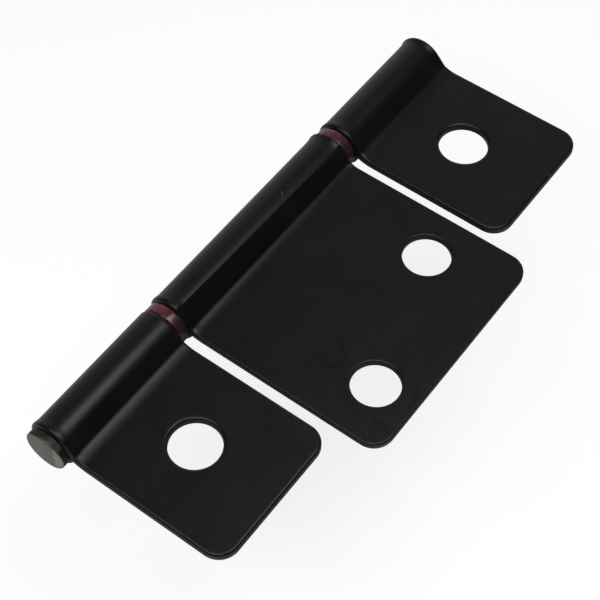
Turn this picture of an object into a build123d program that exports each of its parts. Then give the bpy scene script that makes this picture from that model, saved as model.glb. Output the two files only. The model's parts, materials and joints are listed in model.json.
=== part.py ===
from build123d import *
from math import acos, atan2, cos, hypot, pi, radians, sin
import os

# Non-mortise hinge with three sheet leaves on one pin, shown closed.
# The two outer leaves go on the frame and the middle leaf, between them, on the door.
# Origin: centre of the outer leaves' screw holes, on the back face that meets the frame.
# +Y runs along the pin, +X towards the free edges of the leaves, +Z to the front.

# Sheet and leaves, millimetres
sheet = 1.2
outer_leaf_length = 20.0
middle_leaf_length = 33.0
outer_leaf_reach = 25.3
middle_leaf_reach = 31.0
corner_radius = 2.7

# Edge breaks of the blank: the punched side is rolled over, the other side is nearly sharp
punched_edge = 0.35
burr_edge = 0.1

# Pin, with its head at the lower end
pin_diameter = 3.8
pin_above_back = 0.85
head_diameter = 5.7
head_thickness = 1.1
head_edge_radius = 0.3
pin_end_recess = 0.4
pin_end_chamfer = 0.4

# Rolled knuckles: the curl is left along a straight flank, and a tight bend eases out into the flat.
# Slopes are the sheet's lean against the flat, in degrees; radii are those of the front skin.
outer_flank_slope = 45.0
outer_bend_radius = 1.2
outer_ease_slope = 20.0
outer_ease_radius = 4.5
middle_flank_slope = 66.0
middle_bend_radius = 0.7
middle_ease_slope = 22.0
middle_ease_radius = 3.5
seam_gap = 0.25
grip_clearance = 0.01
running_clearance = 0.08

# Washers between the knuckles
washer_thickness = 1.5
washer_diameter = 6.0
washer_edge = 0.15
washer_bore_clearance = 0.1
washer_side_clearance = 0.05

# Screw holes: the outer leaf has one at its mid-length, the middle leaf two, staggered
outer_hole_diameter = 6.5
outer_hole_reach = 13.3
middle_hole_diameter = 6.2
lower_hole_from_edge = 5.7
lower_hole_from_end = 7.4
upper_hole_from_edge = 11.4
upper_hole_from_end = 6.4

# Places along the pin, from its mid-length
pin_radius = pin_diameter / 2
knuckle_gap = washer_thickness + 2 * washer_side_clearance
middle_half = middle_leaf_length / 2
outer_start = middle_half + knuckle_gap
stack_half = outer_start + outer_leaf_length
washer_centre = middle_half + knuckle_gap / 2

# The model is drawn about the pin's plan line, then moved to the screw holes
to_frame = Pos(-outer_hole_reach, 0, 0)

# Edges closer than this to a plane or a point count as lying on it
same_place = 1e-4

# The flank stays this much flatter, in degrees, than the slope at which it would have no length
least_flank = 1.0


def rolled_section(bore_radius, fold, reach):
    """Section across the pin: flat leaf, eased bend, straight flank and a curl round the bore.

    Each line or arc of the front skin is tangent to the next, and the back skin follows it one
    sheet away. The curl ends where its outer corner stands one seam gap from the bend's back.
    Gives the face, where the flat starts, and the middles of the front's and the back's folds.
    """
    flank_slope, bend_radius, ease_slope, ease_radius = fold
    outer_radius = bore_radius + sheet
    bend_back = bend_radius + sheet
    ease_back = ease_radius + sheet
    ease = radians(ease_slope)
    bend_rise = sheet + ease_radius - (ease_radius - bend_radius) * cos(ease) - pin_above_back
    steepest = acos(bend_rise / (outer_radius + bend_radius)) - radians(least_flank)
    flank = min(radians(flank_slope), steepest)
    bend_x = (outer_radius + bend_radius - bend_rise * cos(flank)) / sin(flank)
    flat_start = bend_x + (ease_radius - bend_radius) * sin(ease)
    centres = hypot(bend_x, bend_rise)
    turn_cosine = (outer_radius**2 + centres**2 - (bend_back + seam_gap) ** 2) / (2 * outer_radius * centres)
    tip = atan2(bend_x, bend_rise) + acos(turn_cosine) - 2 * pi

    pin_centre = (0, pin_above_back)
    bend_centre = (bend_x, pin_above_back + bend_rise)
    ease_centre = (flat_start, sheet + ease_radius)

    def beside(centre, radius, slope):
        return (centre[0] + radius * sin(slope), centre[1] + radius * cos(slope))

    def arc(centre, radius, first, last):
        middle = beside(centre, radius, (first + last) / 2)
        ThreePointArc(beside(centre, radius, first), middle, beside(centre, radius, last))
        return middle

    def straight(first, last):
        Line(first, last)
        return ((first[0] + last[0]) / 2, (first[1] + last[1]) / 2)

    across_pin = Plane(origin=(0, 0, 0), x_dir=(1, 0, 0), z_dir=(0, -1, 0))
    with BuildSketch(across_pin) as section:
        with BuildLine():
            straight((reach, 0), (reach, sheet))
            straight((reach, sheet), (flat_start, sheet))
            front_folds = [
                arc(ease_centre, -ease_radius, 0, ease),
                arc(bend_centre, -bend_radius, ease, flank),
                straight(beside(bend_centre, -bend_radius, flank), beside(pin_centre, outer_radius, flank)),
                arc(pin_centre, outer_radius, flank, tip),
            ]
            straight(beside(pin_centre, outer_radius, tip), beside(pin_centre, bore_radius, tip))
            back_folds = [
                arc(pin_centre, bore_radius, tip, flank),
                straight(beside(pin_centre, bore_radius, flank), beside(bend_centre, -bend_back, flank)),
                arc(bend_centre, -bend_back, flank, ease),
                arc(ease_centre, -ease_back, ease, 0),
            ]
            straight((flat_start, 0), (reach, 0))
        make_face()
    return section.sketch, flat_start, front_folds, back_folds


def skin_edges(leaf, height, flat_start, folds):
    """Edges of one skin of a leaf: the flat's rim and holes, and the folds on both ends."""
    rim = []
    for edge in leaf.edges():
        box = edge.bounding_box()
        middle = edge @ 0.5
        in_flat = max(abs(box.min.Z - height), abs(box.max.Z - height)) < same_place
        bend_line = in_flat and box.max.X < flat_start + same_place
        on_end = box.size.Y < same_place
        on_fold = on_end and min(hypot(middle.X - x, middle.Z - z) for x, z in folds) < same_place
        if (in_flat and not bend_line) or on_fold:
            rim.append(edge)
    return rim


def leaf(start, length, reach, bore_clearance, fold, holes, hole_diameter, front_edge, back_edge):
    """One blank: rolled section along the pin, rounded free corners, holes and edges."""
    section, flat_start, front_folds, back_folds = rolled_section(pin_radius + bore_clearance, fold, reach)
    blank = Pos(0, start, 0) * extrude(section, amount=-length)
    free_corners = blank.edges().filter_by(Axis.Z).group_by(Axis.X)[-1]
    blank = fillet(free_corners, corner_radius)
    for hole_x, hole_y in holes:
        blank -= Pos(hole_x, hole_y, sheet / 2) * Cylinder(hole_diameter / 2, 2 * sheet)
    blank = chamfer(skin_edges(blank, sheet, flat_start, front_folds), front_edge)
    return chamfer(skin_edges(blank, 0, flat_start, back_folds), back_edge)


def hinge_pin():
    """Headed pin, its axis along +Y: head at the lower end, chamfered at the other."""
    head_low = -stack_half - head_thickness
    shank_length = 2 * stack_half - pin_end_recess
    along_pin = Plane(origin=(0, head_low, pin_above_back), x_dir=(1, 0, 0), z_dir=(0, 1, 0))
    head = Cylinder(head_diameter / 2, head_thickness, align=(Align.CENTER, Align.CENTER, Align.MIN))
    head = fillet(head.edges().filter_by(GeomType.CIRCLE).group_by(Axis.Z)[0], head_edge_radius)
    shank = Cylinder(pin_radius, shank_length, align=(Align.CENTER, Align.CENTER, Align.MIN))
    shank = chamfer(shank.edges().filter_by(GeomType.CIRCLE).group_by(Axis.Z)[-1], pin_end_chamfer)
    return along_pin * (head + Pos(0, 0, head_thickness) * shank)


def washer(centre):
    """Flat ring on the pin with its outer rims broken."""
    ring = Cylinder(washer_diameter / 2, washer_thickness)
    ring = chamfer(ring.edges().filter_by(GeomType.CIRCLE), washer_edge)
    ring -= Cylinder(pin_radius + washer_bore_clearance, 2 * washer_thickness)
    return Plane(origin=(0, centre, pin_above_back), x_dir=(1, 0, 0), z_dir=(0, 1, 0)) * ring


outer_hole_y = outer_start + outer_leaf_length / 2
middle_holes = [
    (middle_leaf_reach - lower_hole_from_edge, -middle_half + lower_hole_from_end),
    (middle_leaf_reach - upper_hole_from_edge, middle_half - upper_hole_from_end),
]

outer_fold = (outer_flank_slope, outer_bend_radius, outer_ease_slope, outer_ease_radius)
middle_fold = (middle_flank_slope, middle_bend_radius, middle_ease_slope, middle_ease_radius)

parts = {
    "lower_leaf": leaf(-stack_half, outer_leaf_length, outer_leaf_reach, grip_clearance, outer_fold,
                       [(outer_hole_reach, -outer_hole_y)], outer_hole_diameter, punched_edge, burr_edge),
    "middle_leaf": leaf(-middle_half, middle_leaf_length, middle_leaf_reach, running_clearance, middle_fold,
                        middle_holes, middle_hole_diameter, burr_edge, punched_edge),
    "upper_leaf": leaf(outer_start, outer_leaf_length, outer_leaf_reach, grip_clearance, outer_fold,
                       [(outer_hole_reach, outer_hole_y)], outer_hole_diameter, punched_edge, burr_edge),
    "hinge_pin": hinge_pin(),
    "lower_washer": washer(-washer_centre),
    "upper_washer": washer(washer_centre),
}

os.makedirs("parts", exist_ok=True)
for name, part in parts.items():
    export_step(to_frame * part, f"parts/{name}.step")
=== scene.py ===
"""Looks of the non-mortise hinge: three folded sheet leaves, their headed pin and two washers.

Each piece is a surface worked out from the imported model's own sizes, in metres and in its frame:
+Y runs along the pin, +X to the leaves' free edges and +Z out of their front.
"""

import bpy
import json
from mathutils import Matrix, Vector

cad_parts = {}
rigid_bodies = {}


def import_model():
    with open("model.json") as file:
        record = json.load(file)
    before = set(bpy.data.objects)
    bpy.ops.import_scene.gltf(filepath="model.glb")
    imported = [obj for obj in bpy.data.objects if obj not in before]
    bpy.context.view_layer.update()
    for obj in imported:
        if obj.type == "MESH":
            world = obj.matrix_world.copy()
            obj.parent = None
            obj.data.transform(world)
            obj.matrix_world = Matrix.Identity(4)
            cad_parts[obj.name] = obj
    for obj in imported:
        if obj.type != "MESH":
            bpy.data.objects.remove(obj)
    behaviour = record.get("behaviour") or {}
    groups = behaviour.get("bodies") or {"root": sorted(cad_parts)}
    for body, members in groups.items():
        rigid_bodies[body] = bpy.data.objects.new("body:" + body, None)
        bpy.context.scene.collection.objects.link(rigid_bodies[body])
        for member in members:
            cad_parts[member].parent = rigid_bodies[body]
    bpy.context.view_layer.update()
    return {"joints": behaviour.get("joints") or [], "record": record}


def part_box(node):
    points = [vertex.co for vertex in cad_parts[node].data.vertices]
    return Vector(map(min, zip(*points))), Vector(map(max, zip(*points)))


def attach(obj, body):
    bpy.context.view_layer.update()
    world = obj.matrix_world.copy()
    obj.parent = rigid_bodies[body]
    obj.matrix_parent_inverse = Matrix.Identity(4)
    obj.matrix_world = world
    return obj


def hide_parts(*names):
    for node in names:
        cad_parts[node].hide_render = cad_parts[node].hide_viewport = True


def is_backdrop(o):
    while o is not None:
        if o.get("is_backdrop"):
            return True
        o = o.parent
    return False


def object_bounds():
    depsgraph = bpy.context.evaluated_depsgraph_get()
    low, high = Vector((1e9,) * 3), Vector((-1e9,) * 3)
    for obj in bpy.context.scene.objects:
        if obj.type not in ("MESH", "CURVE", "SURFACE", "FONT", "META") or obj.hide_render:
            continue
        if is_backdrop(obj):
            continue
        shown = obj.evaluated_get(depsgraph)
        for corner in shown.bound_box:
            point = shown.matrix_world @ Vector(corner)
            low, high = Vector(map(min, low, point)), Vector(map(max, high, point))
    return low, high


bl_info = {
    "name": "Non-Mortise Hinge",
    "version": (1, 0, 0),
    "blender": (4, 5, 0),
    "location": "View3D > Sidebar > Hinge",
    "description": "Coated leaves, bare pin, nylon washers and a plain stage for the packed hinge",
    "category": "Object",
}

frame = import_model()

import json
from collections import namedtuple
from math import acos, atan2, cos, hypot, pi, radians, sin

import bmesh
import bpy
import numpy as np
from bpy.props import FloatProperty, FloatVectorProperty, PointerProperty
from mathutils import Matrix, Vector

MM = 0.001

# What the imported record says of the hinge
RECORD = frame["record"]
MOUNTS = {mount["name"]: mount for mount in RECORD["mounts"]}
HOLES = {opening["name"]: opening["box_m"] for opening in RECORD["physics"]["openings"]}
FRAME_BODY = frame["joints"][0]["parent"]
DOOR_BODY = frame["joints"][0]["child"]
PIN_X, _, PIN_Z = frame["joints"][0]["pos_m"]
BACK_Z = MOUNTS["frame_face"]["pos_m"][2]
SHEET = MOUNTS["door_face"]["pos_m"][2] - BACK_Z
FRAME_HOLE = MOUNTS["frame_screws"]["dims"]["hole_r_mm"] * MM
DOOR_HOLE = MOUNTS["door_screws"]["dims"]["hole_r_mm"] * MM

# How finely the surfaces are divided
CURL_STEPS = 210
ROW_STEPS = 56
SIDE_STEPS = 28
CORNER_STEPS = 13
FREE_STEPS = 24
RAY_STEPS = 15
EDGE_STEPS = 9
FACE_STEPS = 12
ROUND_STEPS = 160
WELD = 0.5e-6
SHARP = radians(40)

# Decimal places to which heights shared by two cells of a leaf are the same
SHARED_DIGITS = 12

# How far the crease above the middle knuckle's pressed flank is rounded
CREASE = 0.03 * MM

# Depth of a hole's rolled rim as a share of its width
HOLE_RIM_DEPTH = 0.8

# Flare of the upper leaf as a share of the middle leaf's
UPPER_LIP = 1.4

# Pin head: its back rim as a share of the front one, how far its outline is drawn in, and the waves in
# that outline, each with its height, its count round the head and its turn; heights are shares of the radius
BACK_RIM = 1 / 3
HEAD_INSET = 0.010
HEAD_WAVES = ((0.006, 3, 0.7), (0.004, 5, 0.0))

# Soft noise: grains to a millimetre, finer layers that it has, and how strong those are
Pattern = namedtuple("Pattern", "scale detail roughness")

# How strongly the relief of a finish shows, and how deep it is
Relief = namedtuple("Relief", "strength depth")

# In the finishes, a pair of numbers is where something starts to show and where it shows in full.

# The coat that all leaves share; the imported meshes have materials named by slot, so it has another name
LEAF_COAT = "leaf_coat"
COAT_IOR = 1.46
COAT_RELIEF = Relief(0.35, 0.022 * MM)
PEEL = Pattern(1.7, 1.0, 0.5)
GRAIN = Pattern(4.6, 2.0, 0.6)
HAZE = Pattern(0.16, 3.0, 0.6)
SMUDGE = Pattern(0.55, 3.0, 0.65)
HAZY = (0.38, 0.62)

# Cut edges of the leaves: how near to the cut the coat is rubbed thin and rough, and the smudges in which
# it is rubbed
WORN_RIM = (0.30 * MM, 0.02 * MM)
SHEARED_RIM = (0.08 * MM, 0.0)
WORN_SMUDGE = (0.30, 0.62)

# Grit in the coat: cells to a millimetre, a speck's edge from the middle of its cell, and the random value
# from which a cell has a speck
GRIT_CELLS = 0.33
GRIT_EDGE = (0.055, 0.03)
GRIT_CHANCE = (0.80, 0.82)

# Hairlines: borders of long wavy cells round one hole, with their waves, cells to a millimetre, and reach
# from the hole in millimetres
HAIRLINE_HOLE = "lower_door_screw_hole"
HAIRLINE_WAVE = Pattern(0.25, 1.0, 0.5)
HAIRLINE_SWAY = (3, 3, 3)
HAIRLINE_TURN = radians(-37)
HAIRLINE_CELLS = (0.24, 0.05, 0.24)
HAIRLINE_EDGE = (0.028, 0.008)
HAIRLINE_REACH = (11.0, 6.0)
HAIRLINE_STRENGTH = 0.55

# Scratch on the middle knuckle: each end's angle from the knuckle's top and its place along the pin, and the
# extra way over the point to both ends at which it fades, all lengths in millimetres
SCRATCH = ((radians(3.2), 5.60), (radians(17), 5.10))
SCRATCH_EDGE = (0.022, 0.006)

# Nylon: its mottling, where it is rubbed pale, and how far from the pin it is darkened by painted shade, in
# millimetres
NYLON_IOR = 1.58
NYLON_RELIEF = Relief(0.2, 0.010 * MM)
CLOUD = Pattern(1.1, 3.0, 0.6)
FLECK = Pattern(6.0, 2.0, 0.7)
NYLON_RUBBED = (0.42, 0.62)
SHADE_REACH = (0.5, 2.4)

# Steel: its stains, pits and spots of rust. The side of the head starts so many millimetres behind its face,
# and the face has a painted highlight so far from the pin
STEEL_RELIEF = Relief(0.3, 0.02 * MM)
STAIN = Pattern(0.8, 1.0, 0.5)
PIT = Pattern(6.0, 3.0, 0.6)
SPOT = Pattern(4.5, 2.0, 0.5)
HEAD_SIDE = (0.12, 0.30)
HEAD_HIGHLIGHT = (2.0, 2.7)
STAINED = (0.58, 0.44)
RUSTED = (0.63, 0.70)

# How far the floor lies under the swing of the middle leaf, and how far outside the hinge's footprint,
# in millimetres, the painted shadow in the floor's reflections starts to lift and is gone
FLOOR_GAP = 0.5 * MM
SHADOW_REACH = (6.0, 13.0)

# How quickly the backdrop's brightness falls off to its sides, and how much the room's light comes from there
BACKDROP_FALL = 6
ROOM_LEAN = 0.9

# Width of the camera's sensor in millimetres, and the nearest and furthest that it sees in metres
SENSOR_WIDTH = 36
NEAREST = 0.01
FURTHEST = 20

# Roll is how far an edge's rounding reaches in over the skin, depth how far it goes down the cut
Edge = namedtuple("Edge", "roll depth")

# Slope of the flank, radius of the tight bend, slope where it starts to ease, radius of that sweep
Bend = namedtuple("Bend", "flank radius ease sweep")

# A stretch of the fold: where it starts along the sheet, its point there from the pin, slope and curvature
Stretch = namedtuple("Stretch", "start point slope curve")


class HingeShape(bpy.types.PropertyGroup):
    """Sizes of the folds and edges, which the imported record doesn't give."""

    outer_flank: FloatProperty(
        name="Outer flank", description="Slope of the straight flank below an outer knuckle",
        default=radians(45), subtype="ANGLE")
    outer_bend: FloatProperty(
        name="Outer bend", description="Front radius of the tight bend at the foot of an outer flank",
        default=1.2 * MM, unit="LENGTH", precision=5)
    outer_ease: FloatProperty(
        name="Outer ease", description="Slope at which an outer leaf's bend starts to ease",
        default=radians(20), subtype="ANGLE")
    outer_sweep: FloatProperty(
        name="Outer sweep", description="Front radius with which an outer leaf eases into its flat",
        default=4.5 * MM, unit="LENGTH", precision=5)
    middle_flank: FloatProperty(
        name="Middle flank", description="Slope of the straight flank below the middle knuckle",
        default=radians(66), subtype="ANGLE")
    pressed_low: FloatProperty(
        name="Pressed flank, lower end",
        description="Slope to which the front of the middle flank is pressed at its lower end",
        default=radians(47), subtype="ANGLE")
    pressed_high: FloatProperty(
        name="Pressed flank, upper end",
        description="Slope to which the front of the middle flank is pressed at its upper end",
        default=radians(53), subtype="ANGLE")
    middle_bend: FloatProperty(
        name="Middle bend", description="Front radius of the tight bend at the foot of the middle flank",
        default=0.7 * MM, unit="LENGTH", precision=5)
    middle_ease: FloatProperty(
        name="Middle ease", description="Slope at which the middle leaf's bend starts to ease",
        default=radians(22), subtype="ANGLE")
    middle_sweep: FloatProperty(
        name="Middle sweep", description="Front radius with which the middle leaf eases into its flat",
        default=3.5 * MM, unit="LENGTH", precision=5)
    seam: FloatProperty(
        name="Seam", description="Gap between the curl's tip and the back of the bend",
        default=0.25 * MM, unit="LENGTH", precision=5)
    corner: FloatProperty(
        name="Corner", description="Radius of the leaves' free corners",
        default=2.7 * MM, unit="LENGTH", precision=5)
    punched_edge: FloatProperty(
        name="Punched edge", description="Rounding of an outline's edge on the side the punch came from",
        default=0.42 * MM, unit="LENGTH", precision=5)
    punched_hole: FloatProperty(
        name="Punched hole", description="Rounding of a hole's rim on the side the punch came from",
        default=0.5 * MM, unit="LENGTH", precision=5)
    burr_edge: FloatProperty(
        name="Burr edge", description="Small rounding on the side the punch left by",
        default=0.28 * MM, unit="LENGTH", precision=5)
    lip: FloatProperty(
        name="Lip", description="How far a knuckle's upper end flares out from rolling",
        default=0.16 * MM, unit="LENGTH", precision=5)
    lip_length: FloatProperty(
        name="Lip length", description="Length of the flare along the pin",
        default=0.7 * MM, unit="LENGTH", precision=5)
    bead: FloatProperty(
        name="Bead", description="Height of the bead round a knuckle's lower end",
        default=0.10 * MM, unit="LENGTH", precision=5)
    bead_length: FloatProperty(
        name="Bead length", description="Half the bead's length along the pin, and its place from the end",
        default=0.55 * MM, unit="LENGTH", precision=5)
    round_off: FloatProperty(
        name="Round-off",
        description="How far a knuckle's outside falls away from the bead to its lower end",
        default=0.42 * MM, unit="LENGTH", precision=5)
    pin_clearance: FloatProperty(
        name="Pin clearance", description="Gap between the pin and the knuckles that grip it",
        default=0.01 * MM, unit="LENGTH", precision=5)
    washer_clearance: FloatProperty(
        name="Washer clearance", description="Gap between the pin and a washer's bore",
        default=0.1 * MM, unit="LENGTH", precision=5)
    head_rim: FloatProperty(
        name="Head rim", description="Rounding of the pin head's outer rim",
        default=0.2 * MM, unit="LENGTH", precision=5)
    head_dome: FloatProperty(
        name="Head dome", description="Rise of the pin head's face at its middle",
        default=0.07 * MM, unit="LENGTH", precision=5)
    pin_end: FloatProperty(
        name="Pin end", description="Bevel of the pin's plain end",
        default=0.4 * MM, unit="LENGTH", precision=5)
    washer_rim: FloatProperty(
        name="Washer rim", description="Rounding of a washer's outer rims",
        default=0.22 * MM, unit="LENGTH", precision=5)


class HingeFinish(bpy.types.PropertyGroup):
    """Colours and roughness of the three finishes."""

    coat: FloatVectorProperty(
        name="Coat", description="Black coating of the leaves", subtype="COLOR",
        default=(0.0006, 0.0007, 0.0005), min=0, max=1)
    coat_haze: FloatVectorProperty(
        name="Coat haze", description="Coating where it is a little thinner or dusty", subtype="COLOR",
        default=(0.0032, 0.0033, 0.0030), min=0, max=1)
    hairline: FloatVectorProperty(
        name="Hairline", description="Fine glossy runs in the coating", subtype="COLOR",
        default=(0.0002, 0.0002, 0.0002), min=0, max=1)
    coat_edge: FloatVectorProperty(
        name="Coat edge", description="Coating rubbed thin along a cut edge", subtype="COLOR",
        default=(0.0045, 0.0044, 0.0034), min=0, max=1)
    speck: FloatVectorProperty(
        name="Speck", description="Grit and dust caught in the coating", subtype="COLOR",
        default=(0.045, 0.045, 0.042), min=0, max=1)
    nylon: FloatVectorProperty(
        name="Nylon", description="Dark red of the washers", subtype="COLOR",
        default=(0.054, 0.010, 0.015), min=0, max=1)
    nylon_pale: FloatVectorProperty(
        name="Nylon, rubbed", description="Washer colour where it is rubbed paler", subtype="COLOR",
        default=(0.152, 0.045, 0.055), min=0, max=1)
    # Painted shade: darkens the washers on the leaves' side, where shade falls between the parts
    washer_shade: FloatVectorProperty(
        name="Grime", description="Dirt on the washers next to the leaves", subtype="COLOR",
        default=(0.012, 0.005, 0.006), min=0, max=1)
    steel: FloatVectorProperty(
        name="Steel", description="Dull bare steel of the pin", subtype="COLOR",
        default=(0.148, 0.150, 0.139), min=0, max=1)
    # Painted highlight: the pin head's face is lighter towards the leaves, where it catches the light
    steel_highlight: FloatVectorProperty(
        name="Steel, rubbed", description="Pin head where it is rubbed bright", subtype="COLOR",
        default=(0.29, 0.292, 0.245), min=0, max=1)
    tarnish: FloatVectorProperty(
        name="Tarnish", description="Stained steel", subtype="COLOR",
        default=(0.040, 0.039, 0.031), min=0, max=1)
    rust: FloatVectorProperty(
        name="Rust", description="Small spots of rust on the pin head", subtype="COLOR",
        default=(0.16, 0.05, 0.03), min=0, max=1)
    coat_roughness: FloatProperty(
        name="Coat roughness", description="Least roughness of the coating", subtype="FACTOR",
        default=0.28, min=0, max=1)
    nylon_roughness: FloatProperty(
        name="Nylon roughness", description="Least roughness of the washers", subtype="FACTOR",
        default=0.08, min=0, max=1)
    steel_roughness: FloatProperty(
        name="Steel roughness", description="Least roughness of the pin", subtype="FACTOR",
        default=0.34, min=0, max=1)


class HingeStudio(bpy.types.PropertyGroup):
    """Camera, lamps and floor."""

    camera_place: FloatVectorProperty(
        name="Camera place", description="Where the camera stands", subtype="TRANSLATION", precision=5,
        default=(61.19 * MM, -90.14 * MM, 154.56 * MM))
    camera_aim: FloatVectorProperty(
        name="Camera aim", description="Point at the middle of the picture", subtype="TRANSLATION",
        precision=5, default=(-2.31 * MM, -4.85 * MM, 1.2 * MM))
    lens: FloatProperty(
        name="Lens", description="Focal length in millimetres on the camera's sensor", default=91.63)
    key_place: FloatVectorProperty(
        name="Key place", description="Middle of the softbox over the hinge", subtype="TRANSLATION",
        precision=5, default=(65 * MM, 25 * MM, 205 * MM))
    key_size: FloatProperty(
        name="Key size", description="Side of the square softbox",
        default=108 * MM, unit="LENGTH", precision=5)
    key_turn: FloatProperty(
        name="Key turn", description="Turn of the softbox about the upright",
        default=radians(45.5), subtype="ANGLE")
    key_glow: FloatProperty(
        name="Key glow", description="Brightness of the softbox, where 1 is white", default=3.75)
    strip_place: FloatVectorProperty(
        name="Strip place", description="Middle of the long softbox in front of the hinge",
        subtype="TRANSLATION", precision=5, default=(10 * MM, -150 * MM, 205 * MM))
    strip_length: FloatProperty(
        name="Strip length", description="Length of the long softbox, along X",
        default=220 * MM, unit="LENGTH", precision=5)
    strip_width: FloatProperty(
        name="Strip width", description="Width of the long softbox, along Y",
        default=80 * MM, unit="LENGTH", precision=5)
    strip_glow: FloatProperty(
        name="Strip glow", description="Brightness of the long softbox, where 1 is white", default=4.4)
    room_glow: FloatProperty(
        name="Room glow", description="Brightness of the room that lights the hinge from all sides",
        default=0.40)
    room_shine: FloatProperty(
        name="Room shine", description="Brightness of the dark side of the room in reflections",
        default=0.021)
    backdrop_shine: FloatProperty(
        name="Backdrop shine", description="Brightness of the backdrop behind the hinge in reflections",
        default=0.84)
    backdrop_bearing: FloatProperty(
        name="Backdrop bearing", description="Direction of the backdrop, turned from +X",
        default=radians(123), subtype="ANGLE")
    floor: FloatVectorProperty(
        name="Floor", description="Colour of the floor", subtype="COLOR",
        default=(0.32, 0.32, 0.32), min=0, max=1)
    floor_glow: FloatProperty(
        name="Floor glow", description="Light that the floor adds to the picture, so that it reads white",
        default=0.78)
    floor_shine: FloatProperty(
        name="Floor shine", description="Light that the floor adds in reflections", default=0.37)
    floor_reach: FloatProperty(
        name="Floor reach", description="Half the width of the floor", default=4.0, unit="LENGTH")


class Shade:
    """A shader socket that joins in Python arithmetic: each operation adds a Math node."""

    def __init__(self, tree, socket=None):
        self.tree = tree
        self.socket = socket

    def node(self, kind, settings=None, sockets=None, output=0):
        """Adds a node of a type. Its settings are made first, then its sockets get values or links."""
        made = self.tree.nodes.new(kind)
        for name, value in (settings or {}).items():
            setattr(made, name, value)
        for key, value in (sockets or {}).items():
            if isinstance(value, Shade):
                self.tree.links.new(value.socket, made.inputs[key])
            else:
                made.inputs[key].default_value = value
        return Shade(self.tree, None if output is None else made.outputs[output])

    def math(self, operation, first, second=0.0):
        return self.node("ShaderNodeMath", {"operation": operation}, {0: first, 1: second})

    def __add__(self, other):
        return self.math("ADD", self, other)

    __radd__ = __add__

    def __sub__(self, other):
        return self.math("SUBTRACT", self, other)

    def __rsub__(self, other):
        return self.math("SUBTRACT", other, self)

    def __mul__(self, other):
        return self.math("MULTIPLY", self, other)

    __rmul__ = __mul__

    def __pow__(self, other):
        return self.math("POWER", self, other)

    def __abs__(self):
        return self.math("ABSOLUTE", self)

    def part(self, axis):
        """One coordinate of this point."""
        return self.node("ShaderNodeSeparateXYZ", None, {0: self}, axis)

    def step(self, low, high):
        """Eases from 0 at low to 1 at high, either way round."""
        return self.node("ShaderNodeMapRange", {"interpolation_type": "SMOOTHSTEP"},
                         {"Value": self, "From Min": low, "From Max": high})

    def mix(self, first, second):
        """Colour that goes from the first to the second as this value goes from 0 to 1."""
        return self.node("ShaderNodeMix", {"data_type": "RGBA"}, {0: self, 6: first, 7: second}, 2)

    def noise(self, pattern, output="Fac"):
        """Soft noise of a pattern at this point, as a value or a colour."""
        sockets = {"Vector": self, "Scale": pattern.scale, "Detail": pattern.detail,
                   "Roughness": pattern.roughness}
        return self.node("ShaderNodeTexNoise", None, sockets, output)

    def distance(self, point):
        """How far this point is from another."""
        return self.node("ShaderNodeVectorMath", {"operation": "DISTANCE"}, {0: self, 1: point}, "Value")

    def stretched(self, turn, scale):
        """This point turned about Z, then scaled along each axis."""
        turned = self.node("ShaderNodeVectorRotate", {"rotation_type": "Z_AXIS"},
                           {"Vector": self, "Angle": turn})
        return turned.node("ShaderNodeVectorMath", {"operation": "MULTIPLY"}, {0: turned, 1: scale})

    def bump(self, relief):
        """Normal of a surface with this height."""
        return self.node("ShaderNodeBump", None,
                         {"Height": self, "Strength": relief.strength, "Distance": relief.depth})


def opaque(colour):
    """Colour with its alpha, as a colour socket takes it."""
    return (*colour, 1.0)


def new_material(name):
    """Empty material with its output, and the place on the piece in millimetres."""
    material = bpy.data.materials.new(name)
    material.use_nodes = True
    tree = material.node_tree
    tree.nodes.clear()
    start = Shade(tree)
    place = start.node("ShaderNodeTexCoord", output="Object")
    place = place.node("ShaderNodeVectorMath", {"operation": "SCALE"}, {0: place, "Scale": 1 / MM})
    return material, place


def show(surface):
    """Links a finished shader to its material's output."""
    surface.node("ShaderNodeOutputMaterial", None, {"Surface": surface}, None)


def hole_middle(name):
    """Middle of a screw hole, halfway between the corners of its box in the record."""
    return np.mean(HOLES[name], axis=0)


def on_middle_knuckle(angle, y):
    """Point on the middle knuckle in millimetres: a radius out from the pin, at an angle from +Z to +X."""
    radius = PIN_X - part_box("middle_leaf")[0].x
    return (PIN_X + radius * sin(angle)) / MM, y, (PIN_Z + radius * cos(angle)) / MM


def grit_specks(place):
    """1 on round specks of grit: the middles of a few cells of a random cell pattern."""
    cells = {"Vector": place, "Scale": GRIT_CELLS}
    from_middle = place.node("ShaderNodeTexVoronoi", None, cells)
    cell_colour = place.node("ShaderNodeTexVoronoi", None, cells, "Color")
    chance = cell_colour.node("ShaderNodeSeparateColor", None, {"Color": cell_colour}, "Red")
    return from_middle.step(*GRIT_EDGE) * chance.step(*GRIT_CHANCE)


def hairlines(place):
    """Strength of the fine runs in the coat: borders of long cells, made wavy by noise, near one hole."""
    sway = place.noise(HAIRLINE_WAVE, "Color")
    wavy = place.node("ShaderNodeVectorMath", {"operation": "MULTIPLY_ADD"},
                      {0: sway, 1: HAIRLINE_SWAY, 2: place})
    cells = wavy.stretched(HAIRLINE_TURN, HAIRLINE_CELLS)
    from_border = cells.node("ShaderNodeTexVoronoi", {"feature": "DISTANCE_TO_EDGE"},
                             {"Vector": cells, "Scale": 1.0})
    from_hole = place.distance(tuple(hole_middle(HAIRLINE_HOLE) / MM))
    return from_border.step(*HAIRLINE_EDGE) * from_hole.step(*HAIRLINE_REACH) * HAIRLINE_STRENGTH


def scratched(place):
    """1 on the scratch, a slim ellipse: from one end over the point to the other is hardly a detour."""
    ends = [on_middle_knuckle(*end) for end in SCRATCH]
    detour = place.distance(ends[0]) + place.distance(ends[1]) - hypot(*np.subtract(*ends))
    return detour.step(*SCRATCH_EDGE)


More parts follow.
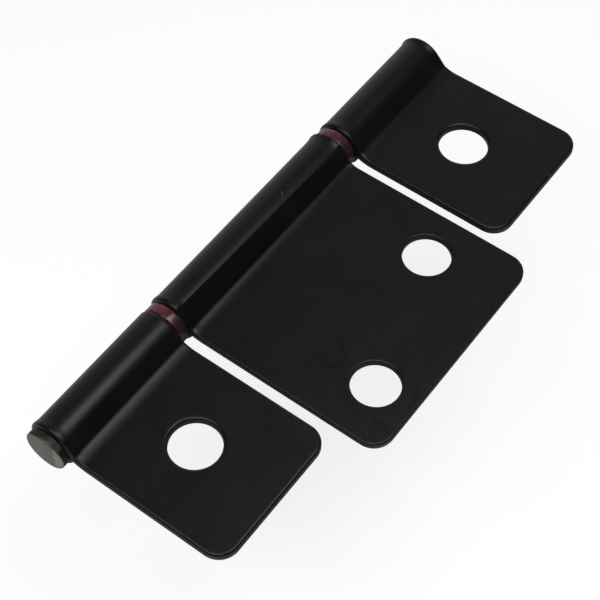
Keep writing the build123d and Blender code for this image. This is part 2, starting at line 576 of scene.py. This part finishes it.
def black_coat(finish):
    """Satin black coating: orange peel, haze, specks, hairlines and a scratch, with edges rubbed thin."""
    material, place = new_material(LEAF_COAT)
    peel = place.noise(PEEL)
    grain = place.noise(GRAIN)
    haze = place.noise(HAZE)
    smudge = place.noise(SMUDGE)
    speck = grit_specks(place)
    scratch = scratched(place)
    hairline = hairlines(place)
    from_cut = place.node("ShaderNodeAttribute", {"attribute_name": "edge_distance"}, None, "Fac")
    worn = from_cut.step(*WORN_RIM) * smudge.step(*WORN_SMUDGE)
    sheared = from_cut.step(*SHEARED_RIM)

    colour = (0.5 * haze + 0.5 * grain).step(*HAZY).mix(opaque(finish.coat), opaque(finish.coat_haze))
    colour = hairline.mix(colour, opaque(finish.hairline))
    colour = worn.mix(colour, opaque(finish.coat_edge))
    colour = speck.math("MAXIMUM", speck, scratch).mix(colour, opaque(finish.speck))
    roughness = finish.coat_roughness + 0.05 * haze + 0.08 * smudge + 0.05 * grain
    roughness = roughness - 0.08 * hairline + 0.20 * sheared
    relief = (0.40 * peel + 0.45 * grain + 0.8 * speck).bump(COAT_RELIEF)
    show(place.node("ShaderNodeBsdfPrincipled", None, {
        "Base Color": colour, "Roughness": roughness, "Normal": relief, "IOR": COAT_IOR}))
    return material


def red_nylon(finish):
    """Dark red nylon: finely mottled, rubbed paler in spots, darkened by painted shade on the leaves' side,
    glossy.
    """
    material, place = new_material("washer_nylon")
    cloud = place.noise(CLOUD)
    fleck = place.noise(FLECK)
    towards_leaves = place.part("X") - PIN_X / MM
    rubbed = (0.35 * cloud + 0.65 * fleck).step(*NYLON_RUBBED)
    # Painted shade: darker and rougher from the pin towards the leaves, where shade falls between the parts,
    # broken up by mottling
    shaded_side = towards_leaves.step(*SHADE_REACH) * (0.68 + 0.32 * cloud)
    colour = rubbed.mix(opaque(finish.nylon), opaque(finish.nylon_pale))
    colour = shaded_side.mix(colour, opaque(finish.washer_shade))
    roughness = finish.nylon_roughness + 0.08 * fleck + 0.30 * shaded_side
    relief = (0.7 * fleck + 0.3 * cloud).bump(NYLON_RELIEF)
    show(place.node("ShaderNodeBsdfPrincipled", None, {
        "Base Color": colour, "Roughness": roughness, "Normal": relief, "IOR": NYLON_IOR}))
    return material


def bare_steel(finish, face):
    """Dull steel pin: a grey face with a painted highlight near the leaves, a stained side, spots of rust.

    The face lies at a place along Y, and the side starts just behind it.
    """
    material, place = new_material("pin_steel")
    stain = place.noise(STAIN)
    pit = place.noise(PIT)
    spot = place.noise(SPOT)
    towards_leaves = place.part("X") - PIN_X / MM
    side = (place.part("Y") - face / MM).step(*HEAD_SIDE)
    # Painted highlight: the face is lighter towards the leaves, broken up by stains; the side has none
    rubbed = (towards_leaves + 1.5 * stain).step(*HEAD_HIGHLIGHT) * (1 - side)
    rusty = 0.7 * spot.step(*RUSTED) * side
    colour = rubbed.mix(opaque(finish.steel), opaque(finish.steel_highlight))
    colour = (side * (0.25 + 0.65 * stain.step(*STAINED))).mix(colour, opaque(finish.tarnish))
    colour = rusty.mix(colour, opaque(finish.rust))
    roughness = finish.steel_roughness + 0.10 * stain + 0.06 * pit + 0.12 * side + 0.15 * rusty
    metal = 1.0 - 0.7 * rusty
    relief = (0.6 * pit + 0.4 * stain).bump(STEEL_RELIEF)
    show(place.node("ShaderNodeBsdfPrincipled", None, {
        "Base Color": colour, "Roughness": roughness, "Metallic": metal, "Normal": relief}))
    return material


def ray(shade, kind):
    """1 for rays of a kind and 0 for others."""
    return shade.node("ShaderNodeLightPath", output=f"Is {kind} Ray")


def seen(shade):
    """1 for what the camera sees, straight or through a clear body."""
    camera = ray(shade, "Camera")
    return camera.math("MAXIMUM", camera, ray(shade, "Transmission"))


def pale_floor(studio):
    """Pale matt floor that keeps shadows, with enough glow in the picture to read white.

    In reflections it glows only outside the hinge's own footprint: under the hinge its glow is left out as a
    painted shadow.
    """
    material, place = new_material("pale_floor")
    matt = place.node("ShaderNodeBsdfDiffuse", None, {"Color": opaque(studio.floor)})
    low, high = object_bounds()
    outside = [
        abs(place.part(axis) - (low[i] + high[i]) / 2 / MM) - (high[i] - low[i]) / 2 / MM
        for i, axis in enumerate("XY")]
    # Painted shadow: the floor's glow in reflections is left out under the hinge's footprint
    beyond_painted_shadow = place.math("MAXIMUM", *outside).step(*SHADOW_REACH)
    strength = studio.floor_glow * seen(place) + studio.floor_shine * beyond_painted_shadow * ray(place, "Glossy")
    glow = place.node("ShaderNodeEmission", None, {"Color": strength})
    show(place.node("ShaderNodeAddShader", None, {0: matt, 1: glow}))
    return material


def grid_faces(rows, columns, closed):
    """Corners of the quads of a grid; where it is closed, the last column joins the first."""
    row = np.arange(rows - 1)[:, None] * columns
    column = np.arange(columns if closed else columns - 1)[None, :]
    beside = (column + 1) % columns
    corners = (row + column, row + beside, row + columns + beside, row + columns + column)
    return np.stack(np.broadcast_arrays(*corners), axis=-1).reshape(-1, 4)


def welded_mesh(name, patches, edge_distance=None):
    """One mesh from grids of points, merged along their seams.

    Each grid is (rows, columns, 3) and comes with a flag that says whether its columns close into a ring.
    """
    starts = np.cumsum([0] + [grid.shape[0] * grid.shape[1] for grid, closed in patches])
    points = np.concatenate([grid.reshape(-1, 3) for grid, closed in patches])
    faces = np.concatenate([
        grid_faces(*grid.shape[:2], closed) + start for (grid, closed), start in zip(patches, starts)])
    mesh = bpy.data.meshes.new(name)
    mesh.from_pydata(points.tolist(), [], faces.tolist())
    if edge_distance is not None:
        attribute = mesh.attributes.new("edge_distance", "FLOAT", "POINT")
        attribute.data.foreach_set("value", edge_distance.astype(np.float32))
    work = bmesh.new()
    work.from_mesh(mesh)
    bmesh.ops.remove_doubles(work, verts=work.verts, dist=WELD)
    bmesh.ops.recalc_face_normals(work, faces=work.faces)
    work.to_mesh(mesh)
    work.free()
    mesh.shade_smooth()
    mesh.set_sharp_from_angle(angle=SHARP)
    return mesh


def add_piece(name, mesh, material, node, body):
    """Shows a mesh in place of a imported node, moving with that node's body."""
    piece = bpy.data.objects.new(name, mesh)
    bpy.context.scene.collection.objects.link(piece)
    mesh.materials.append(material)
    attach(piece, body)
    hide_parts(node)
    return piece


def eased(low, high, steps):
    """Values from low to high, closer together towards both ends: half a cosine wave."""
    return low + (high - low) * (1 - np.cos(np.linspace(0, pi, steps))) / 2


def run(s, y):
    """Blank points (s, y) from two arrays, or an array and a number."""
    return np.stack(np.broadcast_arrays(s, y), axis=-1).astype(float)


def lifted(flat, height):
    """Blank points (s, y) given a height w."""
    return np.concatenate([flat, np.full((*flat.shape[:-1], 1), height)], axis=-1)


def edge_profile(front, back):
    """Section of a cut edge from front to back: a quarter ellipse, the straight cut and a quarter ellipse.

    Gives how far each step is set in from the cut, and its height above mid-sheet.
    """
    turn = np.linspace(0, pi / 2, EDGE_STEPS)
    inset = np.concatenate([front.roll * (1 - np.sin(turn)), back.roll * (1 - np.cos(turn))])
    above = SHEET / 2 - front.depth * (1 - np.cos(turn))
    below = back.depth * (1 - np.sin(turn)) - SHEET / 2
    return inset, np.concatenate([above, below])


def leaning(slope):
    """Unit normals (x, z) of a sheet that leans from the flat towards +X by a slope."""
    return np.stack([np.sin(slope), np.cos(slope)], axis=-1)


def along(stretch, s):
    """Points from the pin and slopes at lengths s: on a circle of the stretch's curvature, or on a line."""
    further = np.asarray(s - stretch.start)
    slope = stretch.slope + stretch.curve * further
    if stretch.curve:
        moved = (leaning(slope) - leaning(stretch.slope)) / stretch.curve
    else:
        moved = further[..., None] * np.array([cos(stretch.slope), -sin(stretch.slope)])
    return stretch.point + moved, slope


class Blank:
    """One leaf's flat blank and the fold that makes it the leaf.

    A blank point has s, its length along the sheet from the curl's tip to the free edge, y along the
    pin from the leaf's lower end, and w, its height above mid-sheet towards the front. The edges are
    pairs of front and back. A pressed flank has its slope at the lower and at the upper end.
    """

    def __init__(self, node, bend, holes, hole_radius, outline_edges, hole_edges, lip, shape,
                 pressed=None):
        low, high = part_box(node)
        self.start = low.y
        self.length = high.y - low.y
        self.corner = shape.corner
        self.stretches, flat_x = self.fold(PIN_X - low.x, bend, shape.seam)
        _, flank, self.tight_bend, _, flat = self.stretches
        self.curl_length = flank.start
        self.flat_start = flat.start
        self.reach = self.flat_start + high.x - PIN_X - flat_x
        self.hole_radius = hole_radius
        self.outline_edges = outline_edges
        self.hole_edges = hole_edges
        self.pressed = pressed
        self.lip = lip
        self.lip_length = shape.lip_length
        self.bead = shape.bead
        self.bead_length = shape.bead_length
        self.round_off = shape.round_off
        self.holes = [
            np.array([self.flat_start + x - PIN_X - flat_x, y - self.start])
            for x, y, _ in map(hole_middle, holes)]
        between = [(lower[1] + upper[1]) / 2 for lower, upper in zip(self.holes, self.holes[1:])]
        self.splits = [0.0, *between, self.length]

    def fold(self, knuckle, bend, seam):
        """Stretches of the mid-sheet from the curl's tip to the flat, and how far from the pin that starts.

        Curl, straight flank, tight bend and sweep are each tangent to the next. The curl's tip stands
        one seam from the back of the bend.
        """
        rise = BACK_Z + SHEET + bend.sweep - (bend.sweep - bend.radius) * cos(bend.ease) - PIN_Z
        across = (knuckle + bend.radius - rise * cos(bend.flank)) / sin(bend.flank)
        centres = hypot(across, rise)
        seam_arc = bend.radius + SHEET + seam
        past_bend = acos((knuckle**2 + centres**2 - seam_arc**2) / (2 * knuckle * centres))
        tip = atan2(across, rise) + past_bend - 2 * pi
        curl = knuckle - SHEET / 2
        turn = bend.radius + SHEET / 2
        sweep = bend.sweep + SHEET / 2
        flank_length = across * cos(bend.flank) - rise * sin(bend.flank)
        curl_length = curl * (bend.flank - tip)
        lengths = (curl_length, flank_length, turn * (bend.flank - bend.ease), sweep * bend.ease)
        curves = (1 / curl, 0.0, -1 / turn, -1 / sweep, 0.0)
        here = Stretch(0.0, curl * leaning(tip), tip, curves[0])
        stretches = [here]
        for length, curve in zip(lengths, curves[1:]):
            point, slope = along(here, here.start + length)
            here = Stretch(here.start + length, point, slope, curve)
            stretches.append(here)
        return stretches, across + (bend.sweep - bend.radius) * sin(bend.ease)

    def flattened(self, across, s, y, frontness):
        """Presses the front of the flank flat: points past a plane that touches the bend move back onto it.

        The plane's slope changes evenly from the lower end to the upper, and a hyperbola rounds the crease
        where it starts. The back stays round and clears the pin.
        """
        low, high = self.pressed
        slope = low + (high - low) * y / self.length
        normal = leaning(slope)
        bend = self.tight_bend
        turn = -1 / bend.curve
        centre = bend.point + turn * leaning(bend.slope)
        plane = normal @ centre - (turn - SHEET / 2)
        past = (across * normal).sum(axis=-1) - plane
        past = (past + np.hypot(past, CREASE)) / 2
        before_touch = s < bend.start + turn * (bend.slope - slope)
        return across - (past * frontness * before_touch)[..., None] * normal

    def raised(self, y, frontness):
        """How far the curl stands out at its ends, at y, where frontness is 1 in front and 0 at the back.

        The lower end has a bead, a bell curve, and from its crest the front falls away along a quarter
        ellipse. The upper end flares out by half a bell curve.
        """
        bead = self.bead * np.exp(-((y / self.bead_length - 1) ** 2))
        beyond = np.clip(1 - y / self.bead_length, 0, 1)
        fall = self.round_off * (1 - np.sqrt(1 - beyond**2)) * frontness
        flare = self.lip * np.exp(-(((self.length - y) / self.lip_length) ** 2))
        return bead - fall + flare

    def place(self, blank):
        """Folds blank points: follows the fold's stretches to s, then goes out along the normal by w.

        Ends of the curl are raised, less and less so from the flank to the flat.
        """
        s, y, w = np.moveaxis(blank, -1, 0)
        frontness = 0.5 + w / SHEET
        curled = np.clip((self.flat_start - s) / (self.flat_start - self.curl_length), 0, 1)
        w = w + self.raised(y, frontness) * curled**2 * (3 - 2 * curled)
        across = np.zeros((*s.shape, 2))
        for stretch in self.stretches:
            point, slope = along(stretch, s)
            folded = point + w[..., None] * leaning(slope)
            across = np.where((s >= stretch.start)[..., None], folded, across)
        if self.pressed:
            across = self.flattened(across, s, y, frontness)
        return np.stack([PIN_X + across[..., 0], self.start + y, PIN_Z + across[..., 1]], axis=-1)

    def from_edge(self, blank):
        """Distance of blank points from the nearest cut: the outline's four sides or a hole's rim."""
        s, y, _ = np.moveaxis(blank, -1, 0)
        rims = [np.hypot(s - hole[0], y - hole[1]) - self.hole_radius for hole in self.holes]
        return np.clip(np.min([s, self.reach - s, y, self.length - y, *rims], axis=0), 0, None)

    def cell_rows(self, cell, inset):
        """Heights y across one cell, the part of the leaf with one hole, set in only from the cut ends."""
        low = max(self.splits[cell], inset)
        high = min(self.splits[cell + 1], self.length - inset)
        return eased(low, high, ROW_STEPS)

    def rows(self, inset):
        """Heights y across all cells, each shared one once."""
        cells = range(len(self.holes))
        rows = np.concatenate([self.cell_rows(cell, inset) for cell in cells])
        return np.unique(rows.round(SHARED_DIGITS))

    def curl_run(self, inset):
        """Lengths s from the curl's tip to the end of the bend."""
        return np.linspace(inset, self.flat_start, CURL_STEPS)

    def corner_run(self, upper, inset):
        """Rounded free corner, a quarter circle in the order of rising y."""
        turn = np.linspace(0, pi / 2, CORNER_STEPS) - (0 if upper else pi / 2)
        centre = self.length - self.corner if upper else self.corner
        radius = self.corner - inset
        return run(self.reach - self.corner + radius * np.cos(turn), centre + radius * np.sin(turn))

    def free_run(self, cell, inset):
        """Free edge of one cell between its corners or splits."""
        low = max(self.splits[cell], self.corner)
        high = min(self.splits[cell + 1], self.length - self.corner)
        return run(self.reach - inset, np.linspace(low, high, FREE_STEPS))

    def side_runs(self, cell, upper, inset):
        """One side of a cell from the bend to the free edge, with its rounded corner where it is cut."""
        y = self.cell_rows(cell, inset)[-1 if upper else 0]
        cut = cell == (len(self.holes) - 1 if upper else 0)
        far = self.reach - (self.corner if cut else inset)
        runs = [run(np.linspace(self.flat_start, far, SIDE_STEPS), y)]
        if cut:
            corner = self.corner_run(upper, inset)
            runs.append(corner[::-1] if upper else corner)
        return runs

    def cell_ring(self, cell, inset):
        """Closed outline of one cell's flat part, from the bend along its lower side and back."""
        back = [piece[::-1] for piece in reversed(self.side_runs(cell, True, inset))]
        bend = run(self.flat_start, self.cell_rows(cell, inset)[::-1])
        runs = [*self.side_runs(cell, False, inset), self.free_run(cell, inset), *back, bend]
        return np.concatenate([piece[:-1] for piece in runs])

    def outline(self, inset):
        """Closed outline of the whole blank, from the tip along its lower side and back."""
        last = len(self.holes) - 1
        rows = self.rows(inset)
        curl = self.curl_run(inset)
        free = [self.free_run(cell, inset) for cell in range(last + 1)]
        back = [piece[::-1] for piece in reversed(self.side_runs(last, True, inset))]
        runs = [run(curl, rows[0]), *self.side_runs(0, False, inset), *free, *back,
                run(curl[::-1], rows[-1]), run(inset, rows[::-1])]
        return np.concatenate([piece[:-1] for piece in runs])

    def hole_ring(self, cell, inset):
        """Circle round a hole, with one point towards each point of its cell's outline."""
        away = self.cell_ring(cell, 0.0) - self.holes[cell]
        away = away / np.linalg.norm(away, axis=-1, keepdims=True)
        return self.holes[cell] + (self.hole_radius + inset) * away

    def skin(self, side):
        """Front (side 0) or back (side 1) of the sheet: a grid over curl and bend, and rays from each hole.

        A ray goes straight from the hole's rim to a point of its cell's outline.
        """
        height = SHEET / 2 - side * SHEET
        inset = self.outline_edges[side].roll
        curl = run(self.curl_run(inset)[:, None], self.rows(inset)[None, :])
        patches = [(lifted(curl, height), False)]
        outwards = eased(0, 1, RAY_STEPS)[:, None, None]
        for cell in range(len(self.holes)):
            rim = self.hole_ring(cell, self.hole_edges[side].roll)
            panel = rim + outwards * (self.cell_ring(cell, inset) - rim)
            patches.append((lifted(panel, height), True))
        return patches

    def cuts(self):
        """The cut edges: the edge section carried round the outline and round each hole."""
        patches = []
        insets, heights = edge_profile(*self.outline_edges)
        rings = [lifted(self.outline(inset), height) for inset, height in zip(insets, heights)]
        patches.append((np.stack(rings), True))
        insets, heights = edge_profile(*self.hole_edges)
        for cell in range(len(self.holes)):
            rings = [lifted(self.hole_ring(cell, inset), height) for inset, height in zip(insets, heights)]
            patches.append((np.stack(rings), True))
        return patches

    def mesh(self, name):
        """The whole folded leaf."""
        patches = [*self.skin(0), *self.skin(1), *self.cuts()]
        from_edge = np.concatenate([self.from_edge(grid).ravel() for grid, closed in patches])
        return welded_mesh(name, [(self.place(grid), closed) for grid, closed in patches], from_edge)


def full_turn():
    """Angles round the pin, as a row."""
    return np.linspace(0, 2 * pi, ROUND_STEPS, endpoint=False)[None, :]


def turned_mesh(name, radius, y, closed):
    """Surface of revolution about the pin: a profile of radii at places y, carried round a full turn.

    The radii are one column, or one column for each angle.
    """
    radius, y, angle = np.broadcast_arrays(radius, y[:, None], full_turn())
    points = np.stack([PIN_X + radius * np.cos(angle), y, PIN_Z + radius * np.sin(angle)], axis=-1)
    if closed:
        points = np.concatenate([points, points[:1]])
    return welded_mesh(name, [(points, True)])


def uneven_head(radius, shank, head):
    """Radii round the pin: where it is wider than the shank, its outline is drawn in and has cosine waves."""
    waves = sum(height * np.cos(count * full_turn() + turn) for height, count, turn in HEAD_WAVES)
    upset = np.clip((radius - shank) / (head - shank), 0, 1)
    return radius * (1 - upset * (HEAD_INSET - waves))


def shank_radius(shape):
    """Radius of the pin: a sheet and a clearance inside the lower knuckle."""
    return PIN_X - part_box("lower_leaf")[0].x - SHEET - shape.pin_clearance


def leaf_edges(shape):
    """Rolled edge and sharp edge of an outline, then of a hole."""
    rolled = Edge(shape.punched_edge, shape.punched_edge)
    sharp = Edge(shape.burr_edge, shape.burr_edge)
    rolled_hole = Edge(shape.punched_hole, HOLE_RIM_DEPTH * shape.punched_hole)
    return rolled, sharp, rolled_hole, sharp


def leaf_coat(context):
    """The leaves' shared coat, made when it is first needed."""
    return bpy.data.materials.get(LEAF_COAT) or black_coat(context.scene.hinge_finish)


class HINGE_OT_outer_leaves(bpy.types.Operator):
    """Make the lower and upper leaf, which show the rolled side of their cut edges in front"""

    bl_idname = "hinge.outer_leaves"
    bl_label = "Outer Leaves"

    def execute(self, context):
        shape = context.scene.hinge_shape
        rolled, sharp, rolled_hole, sharp_hole = leaf_edges(shape)
        coat = leaf_coat(context)
        bend = Bend(shape.outer_flank, shape.outer_bend, shape.outer_ease, shape.outer_sweep)
        outer = {
            "lower_leaf": ("lower_frame_screw_hole", 0.0),
            "upper_leaf": ("upper_frame_screw_hole", UPPER_LIP * shape.lip),
        }
        for node, (hole, lip) in outer.items():
            blank = Blank(node, bend, [hole], FRAME_HOLE,
                          (rolled, sharp), (rolled_hole, sharp_hole), lip, shape)
            name = f"coated_{node}"
            add_piece(name, blank.mesh(name), coat, node, FRAME_BODY)
        return {"FINISHED"}


class HINGE_OT_middle_leaf(bpy.types.Operator):
    """Make the middle leaf, which shows the sharp side of its cut edges in front"""

    bl_idname = "hinge.middle_leaf"
    bl_label = "Middle Leaf"

    def execute(self, context):
        shape = context.scene.hinge_shape
        rolled, sharp, rolled_hole, sharp_hole = leaf_edges(shape)
        holes = ["lower_door_screw_hole", "upper_door_screw_hole"]
        bend = Bend(shape.middle_flank, shape.middle_bend, shape.middle_ease, shape.middle_sweep)
        blank = Blank("middle_leaf", bend, holes, DOOR_HOLE,
                      (sharp, rolled), (sharp_hole, rolled_hole), shape.lip, shape,
                      (shape.pressed_low, shape.pressed_high))
        name = "coated_middle_leaf"
        add_piece(name, blank.mesh(name), leaf_coat(context), "middle_leaf", DOOR_BODY)
        return {"FINISHED"}


class HINGE_OT_pin(bpy.types.Operator):
    """Make the pin with its peened head at the lower end"""

    bl_idname = "hinge.pin"
    bl_label = "Pin"

    def execute(self, context):
        shape = context.scene.hinge_shape
        low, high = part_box("hinge_pin")
        leaf_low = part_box("lower_leaf")[0]
        head = (high.z - low.z) / 2
        shank = shank_radius(shape)
        rim = shape.head_rim
        back_rim = rim * BACK_RIM

        # Profile from the middle of the face: a parabola, two quarter circles, the shank and its bevel
        turn = np.linspace(0, pi / 2, EDGE_STEPS)
        face = np.linspace(0, head - rim, FACE_STEPS)
        dome = shape.head_dome * (face / face[-1]) ** 2
        radius = np.concatenate([
            face, head - rim + rim * np.sin(turn), head - back_rim + back_rim * np.cos(turn),
            [shank, shank, shank - shape.pin_end, 0.0]])
        y = np.concatenate([
            low.y + dome, low.y + dome[-1] + rim * (1 - np.cos(turn)),
            leaf_low.y - back_rim + back_rim * np.sin(turn),
            [leaf_low.y, high.y - shape.pin_end, high.y, high.y]])
        mesh = turned_mesh("headed_pin", uneven_head(radius[:, None], shank, head), y, False)
        steel = bare_steel(context.scene.hinge_finish, low.y)
        add_piece("headed_pin", mesh, steel, "hinge_pin", FRAME_BODY)
        return {"FINISHED"}


class HINGE_OT_washers(bpy.types.Operator):
    """Make the two washers between the knuckles"""

    bl_idname = "hinge.washers"
    bl_label = "Washers"

    def execute(self, context):
        shape = context.scene.hinge_shape
        bore = shank_radius(shape) + shape.washer_clearance
        rim = shape.washer_rim
        turn = np.linspace(0, pi / 2, EDGE_STEPS)
        nylon = red_nylon(context.scene.hinge_finish)
        for node in ("lower_washer", "upper_washer"):
            low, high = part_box(node)
            outer = (high.z - low.z) / 2

            # Profile from the bore round both rims, which are quarter circles, and back to the bore
            radius = np.concatenate([
                [bore], outer - rim + rim * np.sin(turn), outer - rim + rim * np.cos(turn), [bore]])
            y = np.concatenate([
                [low.y], low.y + rim * (1 - np.cos(turn)), high.y - rim * (1 - np.sin(turn)), [high.y]])
            name = f"nylon_{node}"
            add_piece(name, turned_mesh(name, radius[:, None], y, True), nylon, node, FRAME_BODY)
        return {"FINISHED"}


class HINGE_OT_stage(bpy.types.Operator):
    """Set the floor, the room's light, the two softboxes and the camera"""

    bl_idname = "hinge.stage"
    bl_label = "Stage"

    def execute(self, context):
        studio = context.scene.hinge_studio
        self.lay_floor(context, studio)
        self.light_room(context, studio)
        key = (studio.key_size, studio.key_size)
        self.hang_softbox(context, "key", studio.key_place, key, studio.key_turn, studio.key_glow)
        strip = (studio.strip_length, studio.strip_width)
        self.hang_softbox(context, "strip", studio.strip_place, strip, 0.0, studio.strip_glow)
        self.set_camera(context, studio)
        context.scene.view_settings.view_transform = "Standard"
        return {"FINISHED"}

    def lay_floor(self, context, studio):
        """Flat grid of two by two points, just under the lowest place that the swinging leaf reaches."""
        side = np.array([-1.0, 1.0]) * studio.floor_reach
        x, y = np.meshgrid(side, side)
        _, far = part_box("middle_leaf")
        under = PIN_Z - hypot(far.x - PIN_X, far.z - PIN_Z) - FLOOR_GAP
        mesh = welded_mesh("floor", [(np.stack([x, y, np.full_like(x, under)], axis=-1), False)])
        mesh.materials.append(pale_floor(studio))
        floor = bpy.data.objects.new("floor", mesh)
        context.scene.collection.objects.link(floor)
        floor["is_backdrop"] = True

    def light_room(self, context, studio):
        """Soft room light, stronger from the backdrop's side.

        The camera sees white, and the hinge reflects a dark room with a bright backdrop.
        """
        world = bpy.data.worlds.new("room")
        world.use_nodes = True
        world.node_tree.nodes.clear()
        start = Shade(world.node_tree)
        white = seen(start)
        glossy = ray(start, "Glossy")
        towards = start.node("ShaderNodeTexCoord", output="Generated")
        backdrop = (cos(studio.backdrop_bearing), sin(studio.backdrop_bearing), 0)
        facing = towards.node("ShaderNodeVectorMath", {"operation": "DOT_PRODUCT"},
                              {0: towards, 1: backdrop}, "Value")
        shine = studio.room_shine + studio.backdrop_shine * (0.5 + 0.5 * facing) ** BACKDROP_FALL
        lit = glossy * shine + (1 - glossy) * (studio.room_glow * (1 + ROOM_LEAN * facing))
        room = start.node("ShaderNodeBackground", None, {"Strength": white + (1 - white) * lit})
        room.node("ShaderNodeOutputWorld", None, {"Surface": room}, None)
        context.scene.world = world

    def hang_softbox(self, context, name, place, size, turn, glow):
        """Lamp of two side lengths that faces down, turned about the upright, with a given brightness."""
        lamp = bpy.data.lights.new(name, "AREA")
        lamp.shape = "RECTANGLE"
        lamp.size, lamp.size_y = size
        lamp.energy = glow * pi * size[0] * size[1]
        box = bpy.data.objects.new(name, lamp)
        box.matrix_world = Matrix.Translation(place) @ Matrix.Rotation(turn, 4, "Z")
        context.scene.collection.objects.link(box)

    def set_camera(self, context, studio):
        """Camera that looks from its place at its aim, upright."""
        lens = bpy.data.cameras.new("camera")
        lens.lens = studio.lens
        lens.sensor_width = SENSOR_WIDTH
        lens.clip_start = NEAREST
        lens.clip_end = FURTHEST
        camera = bpy.data.objects.new("camera", lens)
        forward = Vector(studio.camera_aim) - Vector(studio.camera_place)
        turn = forward.to_track_quat("-Z", "Y").to_matrix().to_4x4()
        camera.matrix_world = Matrix.Translation(studio.camera_place) @ turn
        context.scene.collection.objects.link(camera)
        context.scene.camera = camera


class HINGE_PT_panel(bpy.types.Panel):
    """Lists the hinge's operators and its sizes, finishes and studio"""

    bl_idname = "HINGE_PT_panel"
    bl_label = "Non-Mortise Hinge"
    bl_space_type = "VIEW_3D"
    bl_region_type = "UI"
    bl_category = "Hinge"

    def draw(self, context):
        for operator in OPERATORS:
            self.layout.operator(operator.bl_idname)
        for group in (context.scene.hinge_shape, context.scene.hinge_finish, context.scene.hinge_studio):
            box = self.layout.box()
            for name in group.__annotations__:
                box.prop(group, name)


OPERATORS = (HINGE_OT_outer_leaves, HINGE_OT_middle_leaf, HINGE_OT_pin, HINGE_OT_washers, HINGE_OT_stage)
CLASSES = (HingeShape, HingeFinish, HingeStudio, *OPERATORS, HINGE_PT_panel)


def register():
    for item in CLASSES:
        bpy.utils.register_class(item)
    bpy.types.Scene.hinge_shape = PointerProperty(type=HingeShape)
    bpy.types.Scene.hinge_finish = PointerProperty(type=HingeFinish)
    bpy.types.Scene.hinge_studio = PointerProperty(type=HingeStudio)


def unregister():
    del bpy.types.Scene.hinge_studio
    del bpy.types.Scene.hinge_finish
    del bpy.types.Scene.hinge_shape
    for item in reversed(CLASSES):
        bpy.utils.unregister_class(item)


def main():
    register()
    bpy.ops.hinge.outer_leaves()
    bpy.ops.hinge.middle_leaf()
    bpy.ops.hinge.pin()
    bpy.ops.hinge.washers()
    bpy.ops.hinge.stage()


if __name__ == "__main__":
    main()
